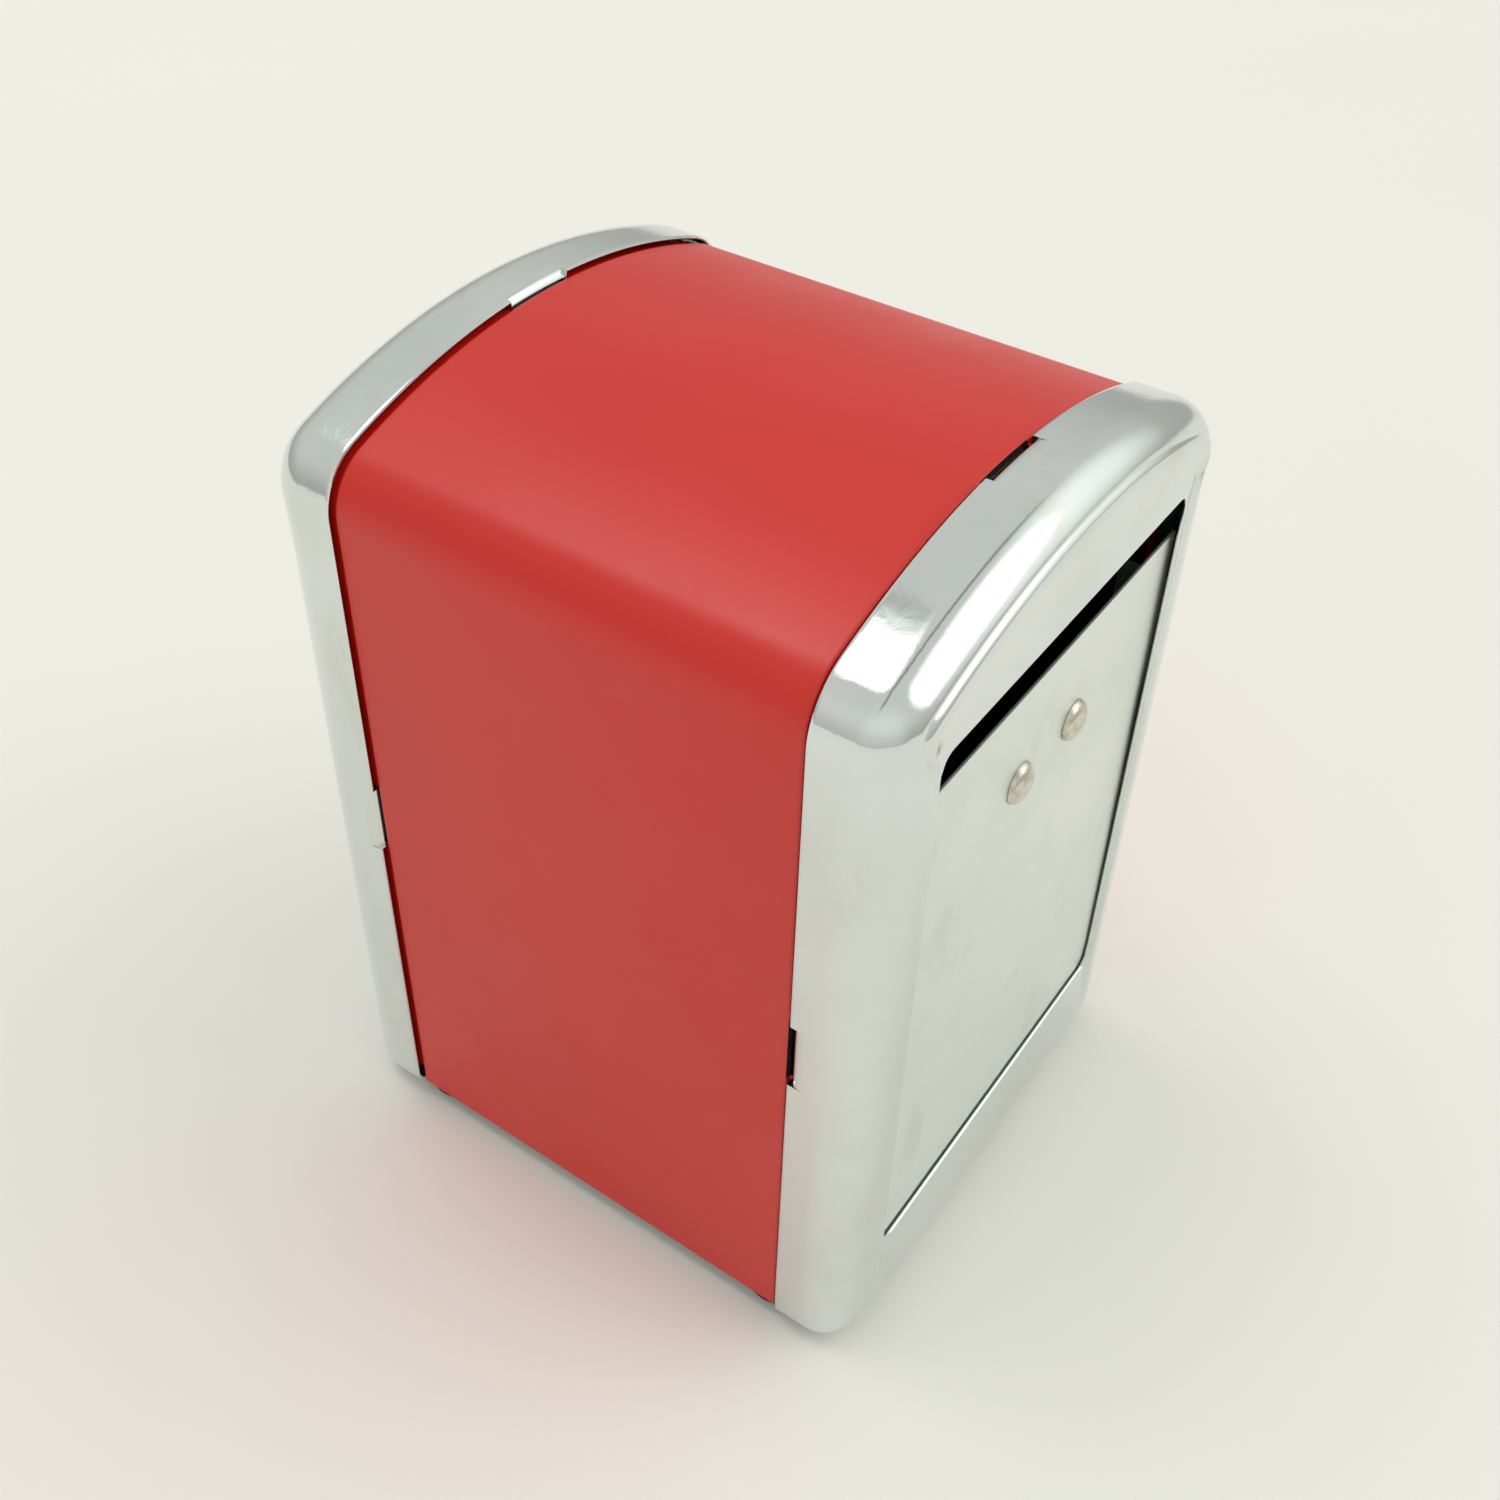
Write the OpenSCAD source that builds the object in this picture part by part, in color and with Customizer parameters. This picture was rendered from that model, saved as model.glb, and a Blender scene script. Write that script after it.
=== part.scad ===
// Two-sided tabletop napkin dispenser: a painted sheet-steel shell, a chromed cap at each
// end with a window, and two sprung follower plates that push the napkins to the windows.
// X runs across the windows, Y from the front window to the back one, Z is up, and the
// origin is on the table under the middle of the body.

/* [Body] */
// Width across the painted sides
body_w = 88; // [86:1:96]
// Height of the painted shell above the feet
body_h = 136; // [134:1:144]
// Depth over both end caps
body_d = 102; // [98:1:116]
// Height at which the sides start to round over into the arched top
shoulder_h = 120; // [118:1:121]
// Radius of the rounded shoulders
shoulder_r = 9.6; // [8.8:0.2:10]
// Sheet thickness of the painted shell
shell_t = 0.8; // [0.6:0.1:0.9]

/* [End caps] */
// How far the cap's flange reaches along the body
cap_depth = 13; // [11:0.5:15]
// Sheet thickness of the caps
cap_t = 0.7; // [0.5:0.1:0.8]
// How far the flange stands proud of the painted side
cap_proud = 0.3; // [0.2:0.1:0.4]
// Fillet between the face and the flange, at the sides and the arch
cap_fillet = 7.8; // [6:0.2:8.4]
// Fillet between the face and the flange, along the bottom
cap_bottom_fillet = 6; // [4:0.5:7]
// Width of the window
window_w = 70; // [64:1:72]
// Height of the window
window_h = 99.6; // [90:0.2:101]
// Height of the window's sill above the bottom of the body
window_sill = 17.8; // [14:0.2:18]
// Radius of the window's corners
window_r = 3; // [1:0.5:5]
// Length of each bent-in retaining tab
tab_len = 12.2; // [8:0.2:14]
// How far a tab reaches in past the flange
tab_reach = 2.2; // [1.5:0.1:2.4]
// Height of the side tabs' middle above the bottom of the body
tab_side_h = 64.7; // [50:0.1:80]

/* [Followers] */
// Width of a follower plate
follower_w = 76.4; // [74:0.2:76.8]
// Height of a follower plate
follower_h = 104; // [96:1:106]
// Sheet thickness of a follower plate
follower_t = 0.8; // [0.6:0.1:1]
// Depth of the flanges bent back along a follower's sides
follower_flange = 8; // [5:0.5:9]
// Backward lean of a follower at rest, in degrees
follower_lean = 0.3; // [0:0.1:1.2]
// Distance between a follower's two rivets
rivet_pitch = 16; // [12:0.5:20]
// Height of the rivets above the bottom of the body
rivet_h = 93.5; // [88:0.5:96]

/* [Springs] */
// Width of a leaf spring
spring_w = 30; // [26:1:36]
// Thickness of a leaf spring
spring_t = 0.5; // [0.4:0.1:0.6]
// Distance from the middle of the body to where a spring leaves the base
spring_root_y = 18; // [17:0.5:20]

/* [Feet] */
// Height of the rubber feet
foot_h = 3; // [2:0.5:4]
// Diameter of the rubber feet
foot_d = 12; // [10:0.5:13]
// Distance of the feet's centres from the middle, across the body
foot_x = 37; // [34:0.5:37]
// Distance of the feet's centres from the middle, along the body
foot_y = 34.5; // [28:0.5:34.5]

/* [Hidden] */

round_fn = 48;
arch_fn = 240;
sliver = 0.01;          // thickness of the slices that a cap is blended from
past = 1;               // how far a cutter runs past what it cuts
slack = 0.3;            // gap between a cap and the body it slides over
touch = 0.1;            // gap between flat faces that bear on each other across a joint

// Outline of the body: upright sides, a shoulder arc and one wide arch, all tangent.
shoulder_x = body_w / 2 - shoulder_r;
rise = body_h - shoulder_h;
arch_r = (pow(shoulder_x, 2) + pow(rise, 2) - pow(shoulder_r, 2)) / (2 * (rise - shoulder_r));
arch_centre_z = body_h - arch_r;
wedge_reach = 2;        // arch wedge's length in arch radii, so that it covers the whole arch

joggle = cap_t - cap_proud + slack;         // inward step of the shell under a cap's flange
flange_y = body_d / 2 - cap_depth;          // inner edge of a cap's flange
shell_gap = 0.6;                            // visible groove between the shell and a flange
shell_y = flange_y - shell_gap;             // end of the shell's full-width stretch
shell_end_y = body_d / 2 - cap_fillet;      // end of the joggled stretch
shell_lift = 0.3;                           // the painted sides stop just above the caps' bottom

cap_steps = 8;                              // slices in a cap's fillet
cap_foot_r = 3;                             // bottom corners of a cap's outline
shell_end_low = cap_foot_r;                 // the joggled ends stop above those corners

floor_z = 3.4;                              // underside of the base plate, recessed in the sides
floor_t = 0.8;
floor_top = floor_z + floor_t;
floor_flange = 12;
floor_y = body_d / 2 - cap_fillet - 1;      // half the base plate's length
floor_relief = 0.2;                         // gap round the base plate's ends and its holes

foot_neck_d = 6.4;                          // passes beside a cap's flange
foot_stem_d = 6;
foot_lip_d = 8;
foot_lip_h = 1.2;
foot_bevel = 1;

follower_lift = 0.4;                        // from the feet's lips up to a follower
follower_low = floor_top + foot_lip_h + follower_lift;
follower_gap = 0.4;                         // from the cap's inner face to a follower at rest
follower_face_y = -body_d / 2 + cap_t + follower_gap;
skid_len = 6;
skid_w = 16;
flange_clip = 9;                            // flanges stop short of the shoulders

rivet_d = 3;
rivet_head_d = 6.4;
rivet_head_h = 1.7;
rivet_tail_d = 5;
rivet_tail_h = 0.8;
rivet_z = rivet_h - follower_low;           // measured up the follower from its bottom edge

spring_pad = 16;                            // flat stretch that is riveted to the follower
spring_pad_top = rivet_z + spring_pad / 2;
spring_bend_r = 5;
spring_foot = 13;
spring_foot_rivet = 7;                      // from the start of the foot to its rivets
spring_hole_d = rivet_d + slack;
spring_y = follower_face_y + follower_t + touch;
drill = 4;                                  // length of the drills that pierce the springs

chrome = [0.80, 0.83, 0.82];
red = [0.74, 0.20, 0.16];
galvanised = [0.76, 0.78, 0.73];
spring_steel = [0.45, 0.47, 0.50];
nickel = [0.70, 0.68, 0.60];
rubber = [0.05, 0.05, 0.05];

// Extrudes an XZ outline along Y, from y0 to y1.
module along_y(y0, y1) {
    translate([0, y1, 0]) rotate([90, 0, 0]) linear_extrude(y1 - y0) children();
}

// Outline of the body drawn in by inset, with its bottom edge at low and corners of radius foot_r.
module outline(inset = 0, low = 0, foot_r = 0) {
    half_w = body_w / 2 - inset;
    translate([-half_w, low + foot_r]) square([2 * half_w, shoulder_h - low - foot_r]);
    if (foot_r > 0) {
        translate([-half_w + foot_r, low]) square([2 * (half_w - foot_r), foot_r + past]);
        for (side = [-1, 1]) {
            translate([side * (half_w - foot_r), low + foot_r]) circle(foot_r, $fn = round_fn);
        }
    }
    for (side = [-1, 1]) {
        translate([side * shoulder_x, shoulder_h]) circle(shoulder_r - inset, $fn = round_fn);
    }
    intersection() {
        translate([0, arch_centre_z]) circle(arch_r - inset, $fn = arch_fn);
        arch_wedge();
    }
}

// Fan from the arch's centre through the two shoulder centres.
module arch_wedge() {
    rise_x = wedge_reach * shoulder_x;
    rise_z = arch_centre_z + wedge_reach * (shoulder_h - arch_centre_z);
    polygon([[0, arch_centre_z], [rise_x, rise_z], [0, wedge_reach * rise_z], [-rise_x, rise_z]]);
}

// Section of the shell: its outline drawn in by outer, hollow below and wall thick.
module hoop(outer, wall, low) {
    difference() {
        outline(outer, low);
        outline(outer + wall, low - past);
    }
}

// Turns what is drawn for the front to the back, by half a turn.
module at_back() {
    rotate([0, 0, 180]) children();
}

// Lifts what is drawn from the bottom of the body up onto the feet.
module on_feet() {
    translate([0, 0, foot_h]) children();
}

// The painted shell: one sheet folded into two sides and an arched top, stepped in at both
// ends to pass under the caps, with a slot for each of the caps' tabs.
module body_shell() {
    color(red) on_feet() difference() {
        union() {
            along_y(-shell_y, shell_y) hoop(0, shell_t, shell_lift);
            for (step_y = [shell_t / 2 - shell_y, shell_y - shell_t / 2]) {
                translate([0, step_y, 0]) along_y(-shell_t / 2, shell_t / 2)
                    hoop(0, joggle + shell_t, shell_end_low);
            }
            along_y(-shell_end_y, -shell_y + sliver) hoop(joggle, shell_t, shell_end_low);
            along_y(shell_y - sliver, shell_end_y) hoop(joggle, shell_t, shell_end_low);
        }
        tab_slots();
        at_back() tab_slots();
    }
}

// Open-ended slots that the tabs of one cap lie in.
module tab_slots() {
    slot = tab_len + 2 * slack;
    long = shell_end_y - shell_y + past;
    deep = joggle + shell_t + past;
    translate([-slot / 2, -shell_y - long, body_h - deep - slack]) cube([slot, long, deep + past]);
    for (side = [-1, 1]) {
        translate([side * (body_w / 2 - deep / 2), -shell_y - long / 2, tab_side_h])
            cube([deep + past, long, slot], center = true);
    }
}

// The floor: a pan whose flanges are spot-welded inside the shell's sides.
module base_plate() {
    wide = body_w - 2 * (joggle + shell_t + floor_relief);
    inner = body_w / 2 - shell_t;
    foot_hole = foot_stem_d + 2 * floor_relief;
    color(galvanised) on_feet() difference() {
        union() {
            translate([-wide / 2, -floor_y, floor_z]) cube([wide, 2 * floor_y, floor_t]);
            translate([-inner, -shell_y + shell_t, floor_z])
                cube([2 * inner, 2 * (shell_y - shell_t), floor_t]);
            for (side = [-1, 1]) {
                translate([side * (inner - floor_t / 2), 0, floor_z + floor_flange / 2])
                    cube([floor_t, 2 * (shell_y - shell_t), floor_flange], center = true);
            }
        }
        for (x = [-foot_x, foot_x], y = [-foot_y, foot_y]) {
            translate([x, y, floor_z - past])
                cylinder(d = foot_hole, h = floor_t + 2 * past, $fn = round_fn);
        }
        spring_foot_rivets() cylinder(d = rivet_d, h = 2 * past + floor_t, $fn = round_fn);
    }
}

// Puts a child at each rivet that holds a spring's foot to the floor, just below the floor.
module spring_foot_rivets() {
    rivet_y = spring_root_y - spring_foot_rivet;
    for (x = [-rivet_pitch / 2, rivet_pitch / 2], y = [-rivet_y, rivet_y]) {
        translate([x, y, floor_z - past]) children();
    }
}

// Solid that a cap is drawn over: a stack of outlines that close in along the fillet.
module cap_form(wall) {
    front = -body_d / 2 + wall;
    fillet = cap_fillet - wall;
    low_fillet = cap_bottom_fillet - wall;
    hull() {
        along_y(-flange_y - sliver, -flange_y) outline(wall - cap_proud, wall, cap_foot_r - wall);
        for (step = [0 : cap_steps]) {
            angle = 90 * step / cap_steps;
            y = front + fillet * (1 - sin(angle));
            draw_in = fillet * (1 - cos(angle));
            lift = low_fillet * (1 - cos(angle));
            along_y(y, y + sliver) outline(wall - cap_proud + draw_in, wall + lift, cap_foot_r - wall);
        }
    }
}

// Cutter for a cap's window.
module window() {
    low = window_sill;
    half = window_w / 2;
    along_y(-body_d / 2 - past, -body_d / 2 + cap_t + past) {
        translate([-half + window_r, low]) square([window_w - 2 * window_r, window_h]);
        translate([-half, low + window_r]) square([window_w, window_h - 2 * window_r]);
        for (x = [-1, 1], z = [window_r, window_h - window_r]) {
            translate([x * (half - window_r), low + z]) circle(window_r, $fn = round_fn);
        }
    }
}

// Tabs bent in from the edge of the flange: one at the top and one on each side.
module tabs() {
    reach = tab_reach + cap_t;
    root = cap_t / 2;
    translate([-tab_len / 2, -flange_y - cap_t, body_h + cap_proud - reach])
        cube([tab_len, cap_t, reach - root]);
    for (side = [-1, 1]) {
        x = side * (body_w / 2 + cap_proud - (reach + root) / 2);
        translate([x, -flange_y - cap_t / 2, tab_side_h])
            cube([reach - root, cap_t, tab_len], center = true);
    }
}

// One drawn cap, as it sits at the front.
module cap() {
    difference() {
        cap_form(0);
        cap_form(cap_t);
        along_y(-flange_y - cap_t, -flange_y + past)
            outline(cap_t - cap_proud, cap_t, cap_foot_r - cap_t);
        window();
    }
    tabs();
}

module front_cap() {
    color(chrome) on_feet() cap();
}

module back_cap() {
    color(chrome) on_feet() at_back() cap();
}

// Stands a child on a follower's bottom edge, leaning back: y from its face, z up the plate.
module on_follower() {
    translate([0, follower_face_y, follower_low]) rotate([-follower_lean, 0, 0]) children();
}

// A plate with flanges bent back along both sides and two short skids along the bottom.
module follower() {
    half = follower_w / 2;
    flange_h = follower_h - flange_clip;
    difference() {
        union() {
            translate([-half, 0, 0]) cube([follower_w, follower_t, follower_h]);
            for (side = [-1, 1]) {
                translate([side * (half - follower_t / 2), follower_flange / 2, flange_h / 2])
                    cube([follower_t, follower_flange, flange_h], center = true);
                translate([side * (half - skid_w / 2), skid_len / 2, follower_t / 2])
                    cube([skid_w, skid_len, follower_t], center = true);
            }
        }
        rivets_up_follower() cylinder(d = rivet_d, h = 2 * past + follower_t, $fn = round_fn);
    }
}

// Puts a child at each of a follower's rivets, drawn along +Z and laid along +Y.
module rivets_up_follower() {
    for (side = [-1, 1]) {
        translate([side * rivet_pitch / 2, -past, rivet_z]) rotate([-90, 0, 0]) children();
    }
}

module front_follower() {
    color(galvanised) on_feet() on_follower() follower();
}

module back_follower() {
    color(galvanised) on_feet() at_back() on_follower() follower();
}

// A dome-headed rivet along +Z, with its head below z = 0 and grip above.
module rivet(grip, head_d, head_h) {
    ball = (pow(head_d / 2, 2) + pow(head_h, 2)) / (2 * head_h);
    intersection() {
        translate([0, 0, ball - head_h]) sphere(ball, $fn = round_fn);
        translate([0, 0, -head_h]) cylinder(d = head_d, h = head_h, $fn = round_fn);
    }
    translate([0, 0, -sliver]) cylinder(d = rivet_d, h = grip + sliver + rivet_tail_h, $fn = round_fn);
    translate([0, 0, grip]) cylinder(d = rivet_tail_d, h = rivet_tail_h, $fn = round_fn);
}

module follower_rivets() {
    translate([0, past, 0]) rivets_up_follower()
        rivet(follower_t + spring_t + 2 * touch, rivet_head_d, rivet_head_h);
}

module front_follower_rivets() {
    color(nickel) on_feet() on_follower() follower_rivets();
}

module back_follower_rivets() {
    color(nickel) on_feet() at_back() on_follower() follower_rivets();
}

// Points of a leaf spring's side view in (y, z), as it stands behind the front follower.
function lean_back(up) = [spring_y + up * sin(follower_lean), follower_low + up * cos(follower_lean)];
spring_top = lean_back(spring_pad_top);
spring_knee = lean_back(spring_pad_top - spring_pad);
spring_bend_centre = [-spring_root_y + spring_bend_r, floor_top + spring_bend_r];
spring_leg = spring_knee - spring_bend_centre;
leg_lean = acos(spring_bend_r / norm(spring_leg)) - atan2(spring_leg[1], -spring_leg[0]);
bend_steps = 8;

// The strip's outer line, from its top down to the toe, at a distance in from that line.
function spring_line(in) = concat(
    [spring_top + [in, 0], spring_knee + [in, 0]],
    [for (step = [0 : bend_steps])
        let (angle = 180 + leg_lean + (90 - leg_lean) * step / bend_steps)
        spring_bend_centre + (spring_bend_r - in) * [cos(angle), sin(angle)]],
    [[-spring_root_y + spring_foot, floor_top + in]]);

function reversed(list) = [for (i = [len(list) - 1 : -1 : 0]) list[i]];

// A strip of spring steel: riveted flat to the follower, sloping down and in to the floor.
module leaf_spring() {
    difference() {
        rotate([90, 0, 90]) linear_extrude(spring_w, center = true)
            polygon(concat(spring_line(0), reversed(spring_line(spring_t))));
        on_follower() rivets_up_follower() cylinder(d = spring_hole_d, h = drill, $fn = round_fn);
        spring_foot_rivets() cylinder(d = spring_hole_d, h = drill, $fn = round_fn);
    }
}

module front_spring() {
    color(spring_steel) on_feet() leaf_spring();
}

module back_spring() {
    color(spring_steel) on_feet() at_back() leaf_spring();
}

// Rivets up through the floor and a spring's foot, with low heads under the floor.
module spring_rivets() {
    color(nickel) on_feet() translate([0, 0, past]) spring_foot_rivets()
        rivet(floor_t + spring_t, rivet_tail_d, rivet_tail_h);
}

// A push-in rubber foot: a bevelled pad below the caps, a neck up to the floor, a stem through
// its hole and a lip that holds it.
module foot(side_x, side_y) {
    pad = foot_h - slack;
    neck = foot_h + floor_z;
    stem = neck + floor_t;
    tip = stem + foot_lip_h;
    color(rubber) translate([side_x * foot_x, side_y * foot_y, 0]) rotate_extrude($fn = round_fn)
        polygon([[0, 0], [foot_d / 2 - foot_bevel, 0], [foot_d / 2, foot_bevel], [foot_d / 2, pad],
                 [foot_neck_d / 2, pad], [foot_neck_d / 2, neck], [foot_stem_d / 2, neck],
                 [foot_stem_d / 2, stem], [foot_lip_d / 2, stem], [foot_stem_d / 2, tip], [0, tip]]);
}

module front_left_foot() foot(-1, -1);
module front_right_foot() foot(1, -1);
module back_left_foot() foot(-1, 1);
module back_right_foot() foot(1, 1);

body_shell();
base_plate();
front_cap();
back_cap();
front_follower();
back_follower();
front_follower_rivets();
back_follower_rivets();
front_spring();
back_spring();
spring_rivets();
front_left_foot();
front_right_foot();
back_left_foot();
back_right_foot();
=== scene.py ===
"""Looks for a two-sided tabletop napkin dispenser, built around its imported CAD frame. Units are metres."""

import math

import bmesh
import bpy
import numpy as np
from mathutils import Matrix, Vector


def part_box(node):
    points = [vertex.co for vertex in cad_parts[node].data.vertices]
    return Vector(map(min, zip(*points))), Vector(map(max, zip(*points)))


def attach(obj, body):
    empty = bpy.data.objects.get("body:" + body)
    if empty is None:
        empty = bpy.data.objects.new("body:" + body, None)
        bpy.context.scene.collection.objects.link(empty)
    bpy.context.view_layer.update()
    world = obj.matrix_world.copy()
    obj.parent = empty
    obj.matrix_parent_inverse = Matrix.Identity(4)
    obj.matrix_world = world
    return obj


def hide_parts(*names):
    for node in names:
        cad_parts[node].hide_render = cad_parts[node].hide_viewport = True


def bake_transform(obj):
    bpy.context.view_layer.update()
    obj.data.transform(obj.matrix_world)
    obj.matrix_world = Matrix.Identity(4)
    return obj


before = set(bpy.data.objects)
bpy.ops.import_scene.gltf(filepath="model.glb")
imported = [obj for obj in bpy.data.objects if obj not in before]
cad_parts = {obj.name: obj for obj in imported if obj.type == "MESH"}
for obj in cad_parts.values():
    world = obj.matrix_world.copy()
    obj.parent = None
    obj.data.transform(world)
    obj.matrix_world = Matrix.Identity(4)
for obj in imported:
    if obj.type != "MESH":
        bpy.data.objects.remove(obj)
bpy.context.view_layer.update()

MM = 0.001

# ---------------------------------------------------------------- sizes taken from the frame

SHELL_LOW, SHELL_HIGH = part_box("body_shell")
CAP_LOW, CAP_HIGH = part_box("front_cap")
FOLLOWER_LOW, FOLLOWER_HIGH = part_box("front_follower")
SPRING_LOW, SPRING_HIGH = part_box("front_spring")
BASE_LOW, BASE_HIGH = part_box("base_plate")

HALF_W = SHELL_HIGH[0]                  # half the width over the painted sides
TOP_Z = SHELL_HIGH[2]                   # crown of the arch
SHELL_END_Y = SHELL_HIGH[1]             # end of the joggled stretch
CAP_FACE_Y = CAP_LOW[1]                 # front plane of the front cap
CAP_EDGE_Y = CAP_HIGH[1]                # inner edge of the front cap's flange
CAP_BOTTOM_Z = CAP_LOW[2]
CAP_PROUD = CAP_HIGH[0] - HALF_W

# ---------------------------------------------------------------- sizes of the pressings

SHOULDER_R = 9.6 * MM                   # rounded shoulders
SHOULDER_DROP = 16.0 * MM               # from the crown down to where the sides start to round
FOOT_CORNER_R = 3.0 * MM                # bottom corners of a cap
SHEET_T = 0.8 * MM
CAP_T = 0.55 * MM
TAB_LEN = 12.2 * MM
TAB_SIDE_Z = CAP_BOTTOM_Z + 64.7 * MM
WINDOW_W = 70.0 * MM
WINDOW_H = 100.2 * MM
WINDOW_SILL_Z = CAP_BOTTOM_Z + 17.8 * MM
WINDOW_R = 3.0 * MM
SHARP_ANGLE = math.radians(32)          # edges above this stay crisp
EASED_ANGLE = math.radians(50)          # edges above this are bevelled


# ---------------------------------------------------------------- mesh helpers

def new_object(name, mesh):
    piece = bpy.data.objects.new(name, mesh)
    bpy.context.scene.collection.objects.link(piece)
    return piece


def mesh_from(name, points, faces):
    """A smooth-shaded mesh with outward normals, whose edges above SHARP_ANGLE stay crisp."""
    mesh = bpy.data.meshes.new(name)
    mesh.from_pydata([tuple(p) for p in points], [], faces)
    mesh.validate()
    work = bmesh.new()
    work.from_mesh(mesh)
    bmesh.ops.recalc_face_normals(work, faces=work.faces)
    work.to_mesh(mesh)
    work.free()
    mesh.shade_smooth()
    mesh.set_sharp_from_angle(angle=SHARP_ANGLE)
    return new_object(name, mesh)


def applied(piece):
    """Bakes a piece's modifiers into its mesh."""
    graph = bpy.context.evaluated_depsgraph_get()
    mesh = bpy.data.meshes.new_from_object(piece.evaluated_get(graph))
    piece.modifiers.clear()
    piece.data = mesh
    mesh.shade_smooth()
    mesh.set_sharp_from_angle(angle=SHARP_ANGLE)
    return piece


def ease_edges(piece, width, segments):
    """Bevels the cut edges of a sheet."""
    ease = piece.modifiers.new("eased edges", "BEVEL")
    ease.width = width
    ease.segments = segments
    ease.limit_method = "ANGLE"
    ease.angle_limit = EASED_ANGLE


def grid_faces(rows, columns, closed=False, skip=None):
    """Quads over a grid of points numbered row by row. skip(row, column) leaves a quad out."""
    faces = []
    for row in range(rows - 1):
        for column in range(columns if closed else columns - 1):
            if skip and skip(row, column):
                continue
            after = (column + 1) % columns
            faces.append((row * columns + column, row * columns + after,
                          (row + 1) * columns + after, (row + 1) * columns + column))
    return faces


def lathe(name, profile, place, segments=48):
    """Turns a profile of (radius, height) points about its axis, and sets it down with place."""
    points = []
    for radius, height in profile:
        for k in range(segments):
            angle = math.tau * k / segments
            x, y = radius * math.cos(angle), radius * math.sin(angle)
            points.append(place @ Vector((x, y, height)))
    faces = grid_faces(len(profile), segments, closed=True)
    faces.append(tuple(reversed(range(segments))))
    last = (len(profile) - 1) * segments
    faces.append(tuple(range(last, last + segments)))
    return mesh_from(name, points, faces)


def join(name, pieces):
    """One object out of several, under the given name."""
    bpy.ops.object.select_all(action="DESELECT")
    for piece in pieces:
        piece.select_set(True)
    bpy.context.view_layer.objects.active = pieces[0]
    bpy.ops.object.join()
    pieces[0].name = name
    pieces[0].data.name = name
    return pieces[0]


def half_turn(piece, name):
    """A copy of a front piece turned half a turn about Z, which is the back one."""
    mesh = piece.data.copy()
    mesh.transform(Matrix.Rotation(math.pi, 4, "Z"))
    return new_object(name, mesh)


def finish_piece(piece, body, material, nodes):
    """Gives a piece its body and its finish, and hides the CAD nodes that it stands for."""
    piece.data.materials.clear()
    piece.data.materials.append(material)
    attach(piece, body)
    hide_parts(*nodes)


# ---------------------------------------------------------------- the body's outline

SHOULDER_X = HALF_W - SHOULDER_R
SHOULDER_Z = TOP_Z - SHOULDER_DROP
ARCH_R = (SHOULDER_X ** 2 + SHOULDER_DROP ** 2 - SHOULDER_R ** 2) / (2 * (SHOULDER_DROP - SHOULDER_R))
ARCH_Z = TOP_Z - ARCH_R
ARCH_HALF = math.atan2(SHOULDER_X, SHOULDER_Z - ARCH_Z)     # half the angle that the arch spans
CUT_OFFSETS = (-0.25 * MM, -0.025 * MM, 0.025 * MM, 0.25 * MM)      # points on either side of a cut
ARCH_EASE = 9.0 * MM                    # the arch's section starts this far below the shoulders
BOTTOM_STEPS, CORNER_STEPS, SIDE_STEPS, SHOULDER_STEPS, ARCH_STEPS = 16, 8, 26, 14, 30


def smooth(t):
    """0 to 1 with an eased start and end, for t clipped to 0 to 1."""
    t = np.clip(t, 0, 1)
    return t * t * (3 - 2 * t)


def outline(inset, low, corner_r=FOOT_CORNER_R):
    """Points (x, z) round the body, drawn in by inset, with the bottom edge at low. It starts at the
    bottom middle and goes round past +X. Every call gives the same number of points."""
    half = HALF_W - inset
    right = [(x, low) for x in np.linspace(0, half - corner_r, BOTTOM_STEPS, endpoint=False)]
    for angle in np.linspace(-math.pi / 2, 0, CORNER_STEPS):
        right.append((half - corner_r + corner_r * math.cos(angle),
                      low + corner_r + corner_r * math.sin(angle)))
    side_cuts = (TAB_SIDE_Z - TAB_LEN / 2, TAB_SIDE_Z + TAB_LEN / 2)
    heights = list(np.linspace(low + corner_r, SHOULDER_Z, SIDE_STEPS)[1:])
    heights += [cut + offset for cut in side_cuts for offset in CUT_OFFSETS]
    right += [(half, z) for z in sorted(heights)]
    for angle in np.linspace(0, math.pi / 2 - ARCH_HALF, SHOULDER_STEPS)[1:]:
        r = SHOULDER_R - inset
        right.append((SHOULDER_X + r * math.cos(angle), SHOULDER_Z + r * math.sin(angle)))
    angles = list(np.linspace(0, ARCH_HALF, ARCH_STEPS)[:-1])
    angles += [(TAB_LEN / 2 + offset) / ARCH_R for offset in CUT_OFFSETS]
    r = ARCH_R - inset
    right += [(r * math.sin(a), ARCH_Z + r * math.cos(a)) for a in sorted(angles, reverse=True)]
    left = [(-x, z) for x, z in reversed(right[1:-1])]
    return np.array(right + left)


def archness():
    """How far each outline point belongs to the arch: 1 on it, 0 on the sides and the bottom."""
    points = outline(0, CAP_BOTTOM_Z)
    start = SHOULDER_Z - ARCH_EASE
    rise = (points[:, 1] - start) / (SHOULDER_Z + SHOULDER_R * math.cos(ARCH_HALF) - start)
    return smooth(rise)


def in_tab():
    """Which outline points lie within a tab."""
    points = outline(0, CAP_BOTTOM_Z)
    top = (np.abs(points[:, 0]) < TAB_LEN / 2) & (points[:, 1] > SHOULDER_Z)
    side = (np.abs(points[:, 1] - TAB_SIDE_Z) < TAB_LEN / 2) & (np.abs(points[:, 0]) > HALF_W / 2)
    return top | side


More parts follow.
